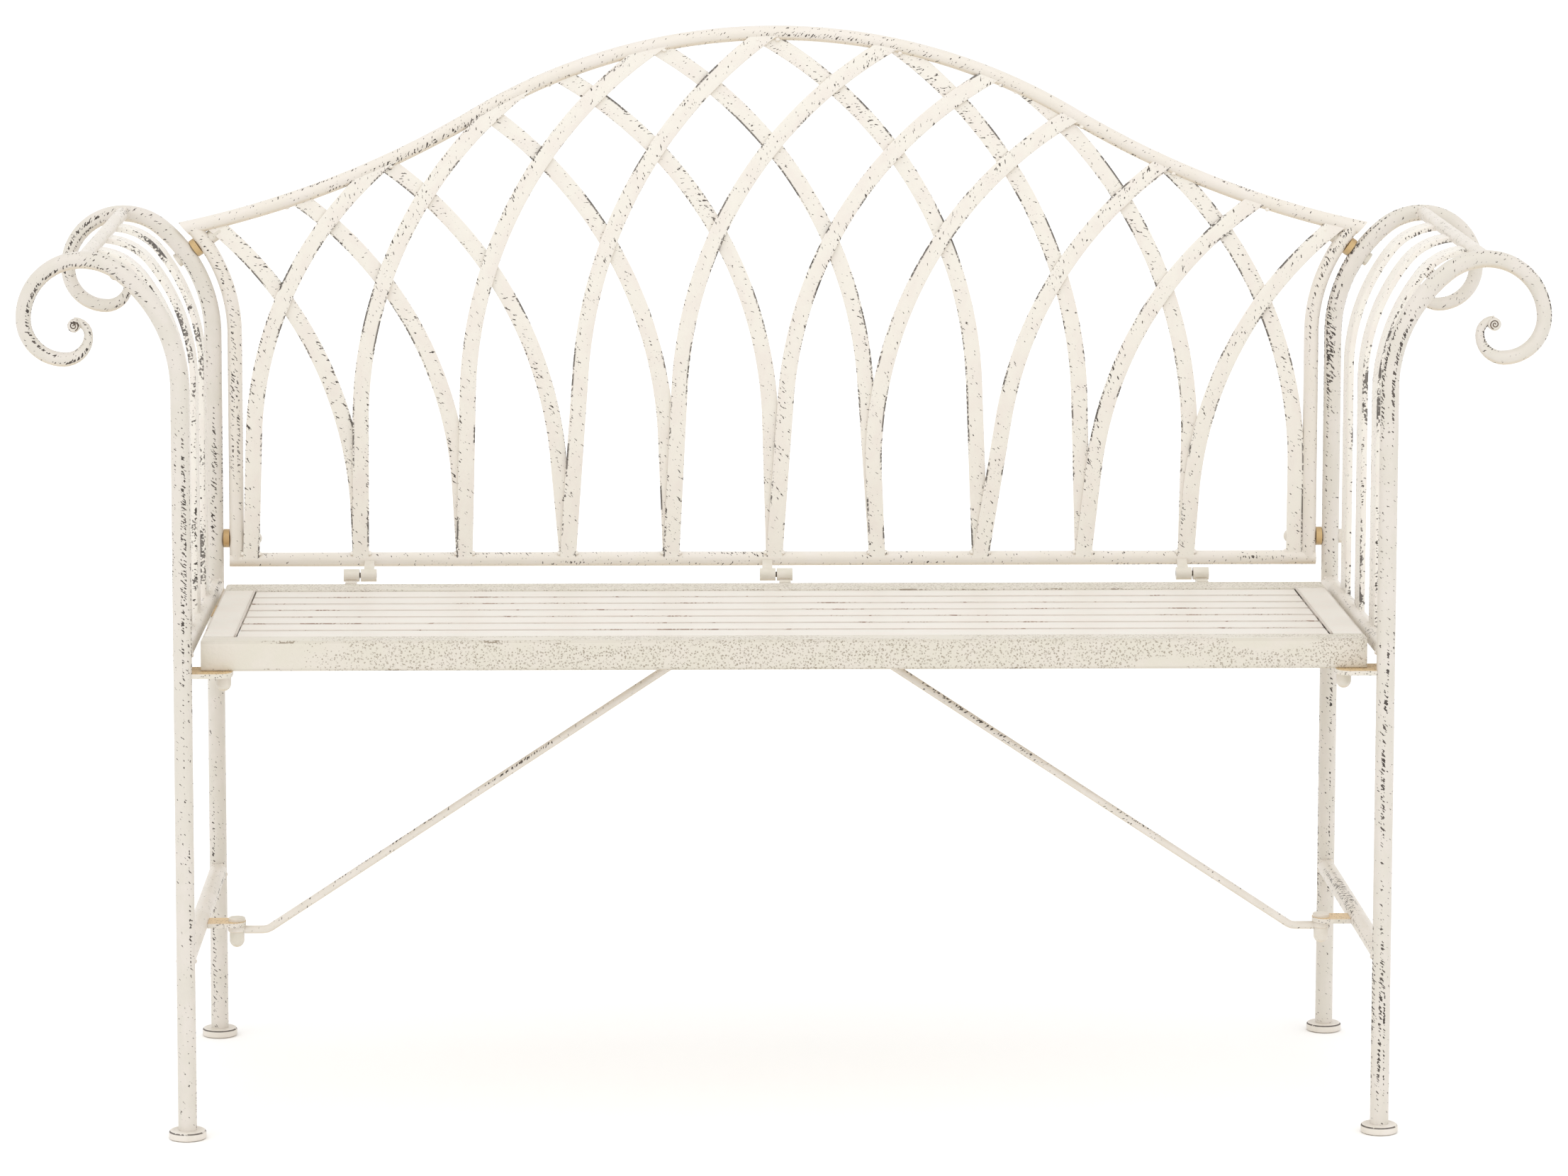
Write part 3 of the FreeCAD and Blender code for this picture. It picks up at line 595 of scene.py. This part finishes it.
def pit_marks(made, place, pits, clean, spread):
    """Small pinholes in patches, with few of them over the first clean millimetres of the bar."""
    cell = made.add("TexVoronoi", {"Vector": place, "Scale": PIT_SCALE}, feature="F1").outputs
    spotty = made.step(made.noise(place, *SPOT_GRAIN), 0.50 - spread, 0.66 - spread)
    if clean:
        along = made.add("SeparateXYZ", {"Vector": place}).outputs["X"]
        spotty = made.math("MULTIPLY", spotty, made.step(along, clean / 3, clean))
    reach = made.math("MULTIPLY", spotty, PIT_REACH * pits)
    pit = made.step(made.math("SUBTRACT", cell["Distance"], reach), -PIT_EDGE, 0.0, 1.0, 0.0)
    chance = made.step(made.noise(place, *CHANCE_GRAIN), 0.44, 0.54)
    return made.math("MULTIPLY", made.math("MULTIPLY", pit, chance), PIT_DEPTH)


def edge_marks(made, place, edges, rim_shade):
    """Rims rubbed in broken lengths, with a thin painted shade line along the rest of them."""
    rim = made.step(made.add("Attribute", attribute_name="rim").outputs["Fac"], 0.70, 0.92)
    broken = made.noise(place, *BROKEN_GRAIN, 2.0)
    fine = made.noise(place, *FINE_GRAIN)
    level = made.math("ADD", broken, made.math("MULTIPLY", fine, RIM_FINENESS))
    # Rubbed lengths are wear; elsewhere the rim keeps a thin dark line that is painted shade along rounded
    # edges and in gaps.
    rubbed = made.step(level, RIM_START - edges, RIM_FULL - edges, rim_shade, RIM_DEPTH)
    return made.math("MULTIPLY", rim, rubbed)


def worn_paint(
    name, base, tint, lanes=0.0, pits=0.0, edges=0.0, rim_shade=0.0, unbent=True,
    dark=DARK_METAL, clean=0.0, spread=0.0, top_shadow=0.0,
):
    """Cream paint rubbed back to dark metal, with painted shade on its undersides.

    lanes: how strongly rubbed lanes of short dashes run along the bar. pits: how large the dark
    pinholes are. edges: how much of the rims is rubbed, and rim_shade how dark the painted shade line along
    the rest of them is.
    unbent: whether the pattern follows the bar's own unbent coordinates, or else the object's.
    clean: length from the bar's start that has few pits. spread: how far the patches of pits spread
    beyond the usual. top_shadow: how golden the painted shadow on the level upper faces is.
    """
    made = Nodes(name)
    if unbent:
        place = made.add("Attribute", attribute_name="unbent").outputs["Vector"]
    else:
        coordinates = made.add("TexCoord").outputs["Object"]
        place = made.stretch(coordinates, (1 / MM, 1 / MM, 1 / MM))
    worn = pit_marks(made, place, pits, clean, spread)
    if lanes:
        worn = made.math("MAXIMUM", worn, lane_marks(made, place, lanes))
    if edges:
        worn = made.math("MAXIMUM", worn, edge_marks(made, place, edges, rim_shade))

    mottle = made.noise(place, *MOTTLE_GRAIN, 3.0)
    colour = made.mix(made.step(mottle, 0.40, 0.66), linear(*base), linear(*tint))
    normal = made.add("NewGeometry").outputs["Normal"]
    facing = made.add("SeparateXYZ", {"Vector": normal}).outputs["Z"]
    # Painted shade: faces that look down are tinted tan, standing in for the shade under the bars.
    under = made.math("MULTIPLY", made.step(facing, -0.35, -0.95), UNDERSIDE_SHADE_AMOUNT)
    colour = made.mix(under, colour, linear(*UNDERSIDE_SHADE_TAN))
    # Painted shadow: level upper faces can turn golden, standing in for the shadow on the tabs' tops.
    if top_shadow:
        level = made.math("MULTIPLY", made.step(facing, 0.80, 0.98), top_shadow)
        colour = made.mix(level, colour, linear(*TOP_SHADOW_GOLD))
    shade = made.step(made.noise(place, *SHADE_GRAIN), 0.42, 0.62)
    greyed = [(5 * value + 255) / 6 for value in dark]
    brown = made.mix(shade, linear(*dark), linear(*greyed))
    colour = made.mix(made.math("MULTIPLY", worn, WORN_COVER), colour, brown)
    made.put(made.shader.inputs["Base Color"], colour)
    roughness = made.step(worn, 0.0, 1.0, PAINT_ROUGHNESS, BARE_ROUGHNESS)
    made.put(made.shader.inputs["Roughness"], roughness)

    grain = made.math("MULTIPLY", made.noise(place, *BUMP_GRAIN, 2.0), 0.6 + pits)
    height = made.math("SUBTRACT", grain, made.math("MULTIPLY", worn, 0.8))
    settings = {"Height": height, "Strength": BUMP_STRENGTH, "Distance": BUMP_DISTANCE}
    made.put(made.shader.inputs["Normal"], made.add("Bump", settings).outputs["Normal"])
    return made.material


# Some looks paint a thin shade line along rims, and the tab paint a golden shadow on its level tops.
PAINTS = {
    "leg_paint": {"base": LEG_CREAM, "tint": LEG_ROSE, "lanes": 0.18, "pits": 0.30},
    "rail_paint": {"base": RAIL_CREAM, "tint": ROSE_CREAM, "lanes": 0.14, "pits": 0.35},
    "tube_paint": {"base": CREAM, "tint": ROSE_CREAM, "lanes": 0.15, "pits": 0.35},
    "foot_paint": {"base": CREAM, "tint": ROSE_CREAM, "pits": 0.3, "edges": 0.36, "rim_shade": 0.15},
    "strip_paint": {"base": PALE_CREAM, "tint": STRIP_ROSE, "lanes": 0.05, "pits": 0.6, "edges": 0.10},
    "slat_paint": {
        "base": SLAT_CREAM, "tint": ROSE_CREAM, "pits": 0.3, "edges": 0.08, "rim_shade": 0.34,
        "dark": SOFT_BROWN,
    },
    "seat_rail_paint": {
        "base": OLIVE_CREAM, "tint": DULL_CREAM, "pits": 1.4, "edges": 0.05, "rim_shade": 0.12,
        "dark": PIT_BROWN, "clean": 130.0, "spread": 0.25,
    },
    "fitting_paint": {"base": CREAM, "tint": OLIVE_CREAM, "pits": 0.6, "unbent": False},
    "tab_paint": {
        "base": CREAM, "tint": OLIVE_CREAM, "pits": 1.1, "unbent": False, "spread": 0.2, "top_shadow": 0.85,
    },
    "spacer_tan": {"base": SPACER_TAN, "tint": SPACER_BROWN, "pits": 0.6, "unbent": False},
    "rubbed_metal": {"base": METAL_BROWN, "tint": METAL_TAN, "pits": 0.5},
}
MATERIALS = {name: worn_paint(name, **look) for name, look in PAINTS.items()}


# Arm frames

def mirror_path(side, steps):
    """Turns the bends the other way for the left side."""
    return tuple(step if len(step) == 1 else (step[0], side * step[1]) for step in steps)


def build_leg(node, side, y, lift, seed):
    """Leg, arm and tapering scroll with its rolled snub, which shows a small spiral on both ends."""
    steps = ((SPRING_Z + lift - FOOT_HEIGHT + 1,),) + ARM_BENDS + SCROLL_BENDS
    path = chain(side * LEG_X, FOOT_HEIGHT - 1, 0.0, mirror_path(side, steps))
    arm_start = path[0][1]
    scroll_start = arm_start + path[1][1] + path[2][1]

    def rub(along, a):
        """Hands rub the outer side of the scroll most, and the leg itself least."""
        if along > scroll_start - RUBBED_SCROLL_LEAD and a * side < -RUBBED_SIDE:
            return 1.0
        return RUBBED_ARM if along > arm_start - RUBBED_ARM_LEAD else 0.0

    shape = Shape(seed)
    shape.sweep(path_frames(path, y, LEG_RADII), round_outline(1.0), rub=rub)
    x, z, _ = path[-1][0](1.0)
    centre = Vector((x, y, z - SNUB_DROP))
    half = SNUB_LENGTH / 2
    profile = [(-half + inset, SNUB_R - narrowed) for inset, narrowed in SNUB_ENDS]
    profile += [(half - inset, SNUB_R - narrowed) for inset, narrowed in reversed(SNUB_ENDS)]
    shape.lathe(centre, Y_AXIS, profile)
    piece(f"{node}_painted", shape, "tube_paint", [node], material="leg_paint")

    spiral = Shape(seed)
    for end in (-1, 1):
        frames = []
        face = centre + Y_AXIS * end * (half - SPIRAL_INSET)
        for k in range(SPIRAL_STEPS + 1):
            turn = 2 * math.pi * SPIRAL_TURNS * k / SPIRAL_STEPS
            radius = SPIRAL_START_R + SPIRAL_GROWTH * turn
            ray = Vector((side * math.cos(turn), 0, math.sin(turn)))
            frames.append((face + ray * radius, ray, Y_AXIS, radius * turn, 1.0))
        spiral.sweep(frames, round_outline(SPIRAL_WIRE_R, WIRE_SIDES))
    piece(f"{node}_snub_spirals", spiral, "tube_paint", [], material="rubbed_metal")


def crest(side, y):
    """The crest of the arm at a depth between the front scroll and the higher rear one, and its lift."""
    lift = REAR_LIFT * (y + LEG_Y) / (2 * LEG_Y)
    path = chain(side * LEG_X, SPRING_Z + lift, 0.0, mirror_path(side, ARM_BENDS))
    x, z, _ = path[-1][0](1.0)
    return Vector((x, y, z)), lift


def build_arm_frame(side, name, seed):
    build_leg(f"{name}_front_leg", side, -LEG_Y, 0.0, seed)
    build_leg(f"{name}_rear_leg", side, LEG_Y, REAR_LIFT, seed + 1)

    front, rear = (Vector((side * LEG_X, y, 0)) for y in (-LEG_Y, LEG_Y))
    rail_rise = Z_AXIS * SIDE_RAIL_Z
    stretcher_rise = Z_AXIS * STRETCHER_Z
    bars = (
        ("arm_top_bar", crest(side, -LEG_Y)[0], crest(side, LEG_Y)[0], TOP_BAR_R),
        ("side_rail", front + rail_rise, rear + rail_rise, TUBE_R),
        ("leg_stretcher", front + stretcher_rise, rear + stretcher_rise, TUBE_R),
    )
    for number, (node, start, end, radius) in enumerate(bars):
        shape = Shape(seed + 2 + number)
        shape.sweep(line_frames(start, end, X_AXIS, Z_AXIS), round_outline(radius))
        for k, (spot, inward) in enumerate(((start, 1), (end, -1))):
            joint = spot + Y_AXIS * inward * BAR_BEAD_INSET
            for j in range(BAR_BEAD_COUNT):
                turn = 2 * math.pi * j / BAR_BEAD_COUNT + seed
                ring = Vector((math.cos(turn), 0, math.sin(turn))) * (radius - BEAD_SINK)
                shape.lump(joint + ring, BAR_BEAD, seed + k * BAR_BEAD_COUNT + j)
        piece(f"{name}_{node}_painted", shape, "tube_paint", [f"{name}_{node}"])

    shape = Shape(seed + 5)
    outline = flat_outline(ARM_SLAT_WIDTH, ARM_SLAT_THICKNESS, ARM_SLAT_ROUNDING, SLAT_OUTLINE_PITCH)
    for y in ARM_SLAT_YS:
        straight = ARM_SLAT_SPRING_Z + crest(side, y)[1] - SIDE_RAIL_Z
        steps = mirror_path(side, ((straight,),) + ARM_SLAT_BENDS)
        path = chain(side * ARM_SLAT_X, SIDE_RAIL_Z, 0.0, steps)
        frames = [
            (centre, across, outward, along, scale)
            for centre, outward, across, along, scale in path_frames(path, y)
        ]
        shape.seed += ARM_SLAT_SEED_STEP
        shape.sweep(frames, outline)
    piece(f"{name}_arm_slats_painted", shape, "strip_paint", [f"{name}_arm_slats"])

    def worn_rim(along, _):
        """The disc's upper edge and the foot of the tube are rubbed, and carry a thin painted shade line."""
        below = (FOOT_HEIGHT - along) / FOOT_ROUNDING
        return 1.0 if FOOT_RUB_TO < below < FOOT_RUB_FROM or along == FOOT_HEIGHT else 0.0

    profile = [(height, FOOT_R - inset) for height, inset in FOOT_LOWER_EDGE]
    profile.append((FOOT_HEIGHT - FOOT_ROUNDING, FOOT_R))
    for turn in FOOT_EDGE_TURNS:
        rise = FOOT_ROUNDING * (math.sin(turn) - 1)
        profile.append((FOOT_HEIGHT + rise, FOOT_R + FOOT_ROUNDING * (math.cos(turn) - 1)))
    profile.append((FOOT_HEIGHT - FOOT_DISH, FOOT_R - FOOT_DISH_INSET))
    profile.append((FOOT_HEIGHT - FOOT_DISH, TUBE_R + FOOT_COLLAR))
    profile.append((FOOT_HEIGHT, TUBE_R - FOOT_DISH))
    shape = Shape(seed + 6)
    for foot in (front, rear):
        shape.seed += FOOT_SEED_STEP
        shape.lathe(foot, Z_AXIS, profile, sides=FOOT_SIDES, rub=worn_rim)
    piece(f"{name}_feet_painted", shape, "tube_paint", [f"{name}_feet"], material="foot_paint")


# Seat

def x_bar(shape, low, high, rounding, pitch, outline_pitch=OUTLINE_PITCH):
    """A bar along X that fills the box from low to high, its section scaled down at both ends."""
    middle = (low + high) / 2
    start = Vector((low.x, middle.y, middle.z))
    end = Vector((high.x, middle.y, middle.z))
    outline = flat_outline(high.y - low.y, high.z - low.z, rounding, outline_pitch)
    frames = line_frames(start, end, Y_AXIS, Z_AXIS, pitch)
    frames[0] = frames[0][:4] + (BAR_END_SCALE,)
    frames[-1] = frames[-1][:4] + (BAR_END_SCALE,)
    frames.insert(1, (start + X_AXIS * BAR_END, Y_AXIS, Z_AXIS, BAR_END, 1.0))
    frames.insert(-1, (end - X_AXIS * BAR_END, Y_AXIS, Z_AXIS, high.x - low.x - BAR_END, 1.0))
    shape.sweep(frames, outline, waver=0.0)


def y_bar(shape, low, high, rounding):
    """A bar along Y that fills the box from low to high."""
    middle = (low + high) / 2
    start = Vector((middle.x, low.y, middle.z))
    end = Vector((middle.x, high.y, middle.z))
    outline = flat_outline(high.x - low.x, high.z - low.z, rounding)
    shape.sweep(line_frames(start, end, X_AXIS, Z_AXIS), outline, waver=0.0)


def build_seat():
    for number, node in enumerate(("seat_front_rail", "seat_rear_rail")):
        shape = Shape(number)
        low, high = cad_box_of(node)
        x_bar(shape, low, high, RAIL_ROUNDING, RAIL_PITCH, RAIL_OUTLINE_PITCH)
        piece(f"{node}_painted", shape, "seat_rail_paint", [node])

    for name in ("left", "right"):
        shape = Shape(43)
        node = f"{name}_seat_side_bar"
        low, high = cad_box_of(node)
        y_bar(shape, low, high, SIDE_BAR_ROUNDING)
        piece(f"{node}_painted", shape, "seat_rail_paint", [node])

        shape = Shape(44)
        node = f"{name}_seat_end_plate"
        low, high = cad_box_of(node)
        plate_high = high - Z_AXIS * LIP_HEIGHT
        y_bar(shape, low, plate_high, PLATE_ROUNDING)
        lip_low = low + Z_AXIS * LIP_ROUNDING
        lip_high = high.copy()
        if name == "left":
            lip_low.x = high.x - LIP_WIDTH
        else:
            lip_high.x = low.x + LIP_WIDTH
        y_bar(shape, lip_low, lip_high, LIP_ROUNDING)
        piece(f"{node}_painted", shape, "slat_paint", [node])

    low, high = cad_box_of("seat_slats")
    pitch = (SLATS_REAR_Y - SLATS_FRONT_Y) / SLAT_COUNT
    shape = Shape(50)
    for k in range(SLAT_COUNT):
        y = SLATS_FRONT_Y + k * pitch + SLAT_GAP / 2
        shape.seed += SEAT_SLAT_SEED_STEP
        slat_low = Vector((low.x, y, low.z))
        slat_high = Vector((high.x, y + pitch - SLAT_GAP, high.z))
        x_bar(shape, slat_low, slat_high, SLAT_ROUNDING, SLAT_PITCH)
    piece("seat_slats_painted", shape, "slat_paint", ["seat_slats"])


# Braces

def build_brace(side, name, seed):
    """A rod with a flat eye under its tab; it runs level to a knee and rises to the seat."""
    eye_top = cad_box_of("brace_tabs")[0].z
    eye_base = cad_box_of("brace_dome_nuts")[1].z
    bolt_x = cad_box_of("brace_bolts")[1].x - BRACE_HEAD_R
    rod_z = eye_top - BRACE_ROD_R - BRACE_ROD_DROP
    start_x = bolt_x - BRACE_EYE_R + BRACE_EYE_LAP
    knee = BRACE_KNEE_R * math.tan(math.radians(BRACE_SLOPE / 2))
    rise = (BRACE_KNEE_X - BRACE_BAR_X) / math.cos(math.radians(BRACE_SLOPE)) - knee
    level = start_x - BRACE_KNEE_X - knee
    steps = mirror_path(side, ((level,), (BRACE_KNEE_R, BRACE_SLOPE), (rise,)))
    path = chain(side * start_x, rod_z, -90.0 * side, steps)
    shape = Shape(seed)
    shape.sweep(path_frames(path, BRACE_Y), round_outline(BRACE_ROD_R, BRACE_ROD_SIDES))
    height = eye_top - eye_base
    rounded_r = BRACE_EYE_R - BRACE_EYE_ROUNDING
    profile = [(0.0, rounded_r), (BRACE_EYE_ROUNDING, BRACE_EYE_R)]
    profile += [(height - BRACE_EYE_ROUNDING, BRACE_EYE_R), (height, rounded_r)]
    shape.lathe(Vector((side * bolt_x, BRACE_Y, eye_base)), Z_AXIS, profile)
    piece(f"{name}_brace_painted", shape, "tube_paint", [f"{name}_brace"])


# Back

def build_back_frame():
    end_x, end_z, end_heading = chain(0.0, CROWN_Z, 90.0, HALF_RAIL)[-1][0](1.0)
    shoulder = (SHOULDER_R, -SHOULDER_ANGLE)
    steps = (shoulder, (CROWN_R, 2 * CROWN_HALF_ANGLE), shoulder)
    path = chain(-end_x, end_z, 180.0 - math.degrees(end_heading), steps)
    frames = path_frames(path, BACK_Y)
    arm_centre = Vector((LEG_X + ARM_BEND_R, BACK_Y, SPRING_Z + REAR_LIFT))
    trim_r = POST_BEND_R - POST_R
    right_half = [centre for centre, *_ in frames if centre.x > 0]
    edge = [centre for centre in right_half if (centre - arm_centre).length >= trim_r][-1]
    outward = (arm_centre - edge).normalized()
    plane = arm_centre - outward * trim_r
    mirror = Vector((-1, 1, 1))
    shape = Shape(60)
    shape.sweep(frames, round_outline(TOP_RAIL_R - TOP_RAIL_TRIM))
    cut = ((plane, outward), (plane * mirror, outward * mirror))
    piece("back_top_rail_painted", shape, "tube_paint", ["back_top_rail"], cut, "rail_paint")

    start = Vector((BASE_LOW.x, BACK_Y, BOTTOM_RAIL_Z))
    end = Vector((BASE_HIGH.x, BACK_Y, BOTTOM_RAIL_Z))
    shape = Shape(61)
    shape.sweep(line_frames(start, end, Y_AXIS, Z_AXIS), round_outline(BOTTOM_RAIL_R))
    piece("back_bottom_rail_painted", shape, "tube_paint", ["back_bottom_rail"], material="rail_paint")

    straight = SPRING_Z + REAR_LIFT - BOTTOM_RAIL_Z
    for side, name in ((-1, "left"), (1, "right")):
        steps = mirror_path(side, ((straight,), (POST_BEND_R, POST_SWEEP)))
        path = chain(side * POST_X, BOTTOM_RAIL_Z, 0.0, steps)
        shape = Shape(63 + side)
        shape.sweep(path_frames(path, BACK_Y), round_outline(POST_R))
        piece(f"{name}_post_painted", shape, "tube_paint", [f"{name}_post"], material="rail_paint")


def strip_steps(foot_x, bend_z, radius, lean):
    """Heading and steps of a strip, and where its centre line meets the top rail's."""
    heading = math.atan(lean / 100)
    straight = (bend_z - BOTTOM_RAIL_Z) / math.cos(heading)
    low, high = 0.0, math.pi / 2 - heading
    start = run((foot_x, BOTTOM_RAIL_Z, heading), straight)[0](1.0)
    for _ in range(HALVINGS):
        sweep = (low + high) / 2
        x, z, _ = bend(start, radius, sweep)[0](1.0)
        if abs(x) < LEG_X and z < rail_height(x):
            low = sweep
        else:
            high = sweep
    x, z, _ = bend(start, radius, low)[0](1.0)
    sweep = low + STRIP_OVERRUN / radius
    return heading, ((straight,), (radius, math.degrees(sweep))), x, z


def build_lattice():
    front_y = BACK_Y - 1.5 * STRIP_THICKNESS
    rear_y = front_y + STRIP_THICKNESS
    outline = flat_outline(STRIP_WIDTH, STRIP_THICKNESS, STRIP_ROUNDING)
    foot_rise = Z_AXIS * (BOTTOM_RAIL_R - FOOT_BEAD_SINK)
    head_drop = Z_AXIS * (TOP_RAIL_R - BEAD_SINK)
    welds = Shape(90)
    for layer, strips, side, y in (("front", FRONT_STRIPS, 1, front_y), ("rear", REAR_STRIPS, -1, rear_y)):
        for number, strip in enumerate(strips, 1):
            heading, steps, top_x, top_z = strip_steps(*strip)
            slope = rail_height(top_x + 1) - rail_height(top_x - 1)
            upward = Vector((-side * slope, 0, 2)).normalized()
            along_rail = Vector((2, 0, side * slope)).normalized()
            start_x = side * strip[0]
            path = chain(start_x, BOTTOM_RAIL_Z, side * math.degrees(heading), mirror_path(side, steps))
            shape = Shape(number * 3 + side)
            shape.sweep(path_frames(path, y), outline)
            top = Vector((side * top_x, y, top_z))
            node = f"lattice_{layer}_{number:02d}"
            piece(f"{node}_painted", shape, "strip_paint", [node], cut=((top, upward),))
            bottom = Vector((start_x, y, BOTTOM_RAIL_Z)) + foot_rise
            for end in (-1, 1):
                foot = bottom + X_AXIS * end * (STRIP_WIDTH / 2 + FOOT_BEAD_SINK)
                welds.lump(foot, STRIP_FOOT_BEAD, number + end * 0.3 + side)
                head = top + along_rail * end * (STRIP_WIDTH * HEAD_BEAD_SPREAD) - head_drop
                welds.lump(head, STRIP_HEAD_BEAD, number * 2 + end * 0.3 + side)
    piece("lattice_welds", welds, "strip_paint", [])


def dress_fittings():
    """The small fittings that no piece replaces keep their CAD shapes and get paint."""
    special = {"seat_tabs": "tab_paint", "brace_tabs": "tab_paint", "hinge_pins": "rubbed_metal"}
    for node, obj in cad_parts.items():
        if obj.hide_render:
            continue
        slot = "spacer_tan" if node == "back_spacers" else "fitting_paint"
        obj.data.materials.clear()
        obj.data.materials.append(MATERIALS[special.get(node, slot)])


# Camera, floor and light

def build_camera():
    """A long lens from in front, a little left of the middle and above the seat."""
    forward = Vector((
        math.sin(CAMERA_YAW) * math.cos(CAMERA_PITCH),
        math.cos(CAMERA_YAW) * math.cos(CAMERA_PITCH),
        -math.sin(CAMERA_PITCH),
    ))
    level = Vector((math.cos(CAMERA_YAW), -math.sin(CAMERA_YAW), 0))
    up = level.cross(forward)
    right = level * math.cos(CAMERA_ROLL) + up * math.sin(CAMERA_ROLL)
    up = up * math.cos(CAMERA_ROLL) - level * math.sin(CAMERA_ROLL)
    data = bpy.data.cameras.new("camera")
    data.sensor_width = CAMERA_SENSOR
    data.lens = CAMERA_LENS
    data.shift_y = CAMERA_SHIFT
    data.clip_end = CAMERA_CLIP_END
    camera = bpy.data.objects.new("camera", data)
    turn = Matrix((right, up, -forward)).transposed()
    camera.matrix_world = Matrix.Translation(CAMERA_SPOT * MM) @ turn.to_4x4()
    bpy.context.scene.collection.objects.link(camera)
    bpy.context.scene.camera = camera


def build_floor():
    corners = [(x * FLOOR_HALF, y * FLOOR_HALF, 0) for x, y in ((-1, -1), (1, -1), (1, 1), (-1, 1))]
    mesh = bpy.data.meshes.new("floor")
    mesh.from_pydata(corners, [], [(0, 1, 2, 3)])
    made = Nodes("floor")
    made.put(made.shader.inputs["Base Color"], FLOOR_WHITE)
    made.put(made.shader.inputs["Roughness"], FLOOR_ROUGHNESS)
    mesh.materials.append(made.material)
    floor = bpy.data.objects.new("floor", mesh)
    floor.location.z = -FLOOR_DROP
    bpy.context.scene.collection.objects.link(floor)


def build_light():
    world = bpy.data.worlds.new("studio")
    world.use_nodes = True
    sky = world.node_tree.nodes["Background"].inputs
    sky["Color"].default_value = (1, 1, 1, 1)
    sky["Strength"].default_value = SKY_STRENGTH
    bpy.context.scene.world = world
    for name, direction, strength in SUNS:
        data = bpy.data.lights.new(name, "SUN")
        data.angle = math.radians(SUN_WIDTH)
        data.energy = strength
        light = bpy.data.objects.new(name, data)
        light.rotation_euler = direction.to_track_quat("-Z", "Y").to_euler()
        bpy.context.scene.collection.objects.link(light)


for side, name, seed in ((-1, "left", 11), (1, "right", 1)):
    build_arm_frame(side, name, seed)
    build_brace(side, name, seed + 8)
build_seat()
build_back_frame()
build_lattice()
dress_fittings()
build_camera()
build_floor()
build_light()
bpy.context.scene.view_settings.view_transform = "Standard"
